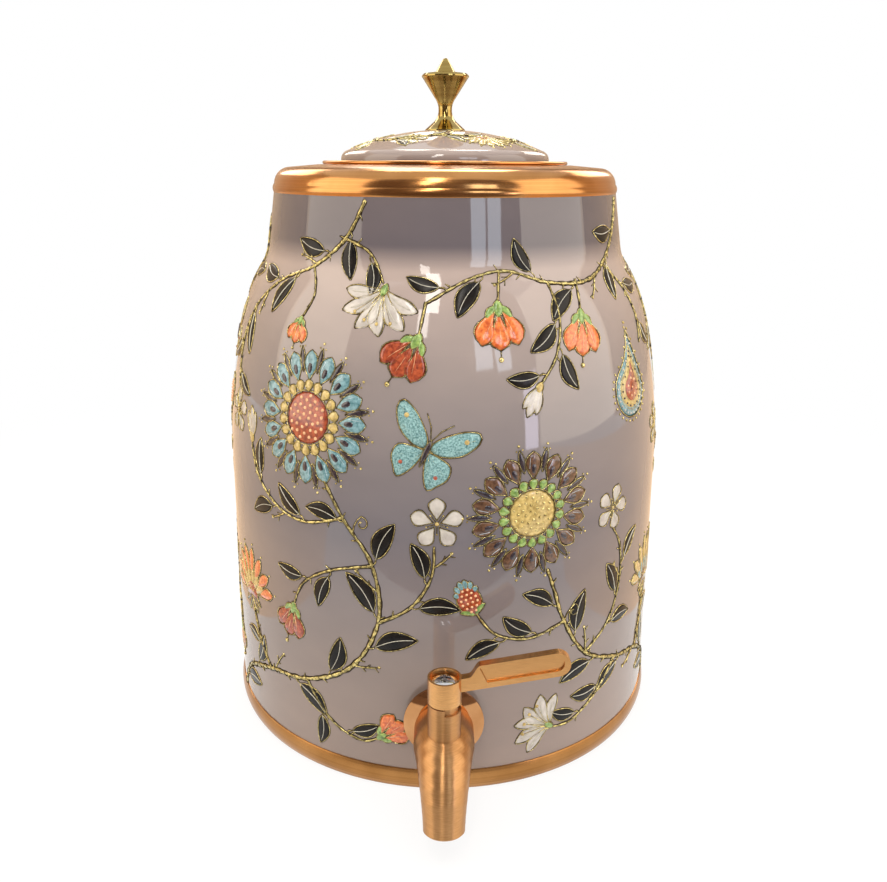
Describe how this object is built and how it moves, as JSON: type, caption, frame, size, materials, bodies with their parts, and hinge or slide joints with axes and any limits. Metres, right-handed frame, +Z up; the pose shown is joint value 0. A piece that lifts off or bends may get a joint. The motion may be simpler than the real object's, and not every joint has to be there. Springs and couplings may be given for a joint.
{
  "type": "water dispenser",
  "caption": "Round-shouldered enamelled metal water jar with a copper collar and foot band, a domed lift-off lid with a pointed knob, and a side-lever tap near the foot.",
  "frame": {"origin": "centre of the underside of the foot, on the surface the jar stands on", "axes": "+Z up along the jar's axis; the tap faces -Y; the lever points to +X when shut"},
  "size_m": [0.2018, 0.244, 0.2877],
  "materials": {
    "enamel": "gloss",
    "copper": "satin",
    "bare_copper": "satin",
    "polished_brass": "polished",
    "steel": "satin",
    "chrome": "polished",
    "rubber": "matte",
    "nylon": "matte"
  },
  "bodies": {
    "jar": {"vessel_body": "enamel", "base_plate": "bare_copper", "foot_band": "copper", "rim_collar": "copper", "tap_body": "copper", "tap_rose": "copper", "outer_gasket": "rubber", "inner_gasket": "rubber", "shank_washer": "steel", "shank_nut": "polished_brass", "plug_ring": "steel", "slip_washer": "nylon"},
    "lid": {"lid_flange": "copper", "lid_skirt": "copper", "lid_dome": "enamel", "lid_knob": "polished_brass", "knob_stud": "steel", "knob_washer": "steel", "knob_nut": "steel"},
    "lever": {"lever_cap": "copper", "lever_screw": "chrome", "screw_washer": "steel", "valve_plug": "polished_brass", "plug_seals": "rubber"}
  },
  "joints": [
    {"name": "lid_lift", "type": "slide", "parent": "jar", "child": "lid", "axis": [0, 0, 1], "range_m": [0, 0.08]},
    {"name": "lever_turn", "type": "hinge", "parent": "jar", "child": "lever", "pos_m": [0, -0.1205, 0.0644], "axis": [0, 0, 1], "range_deg": [-90, 0]}
  ]
}
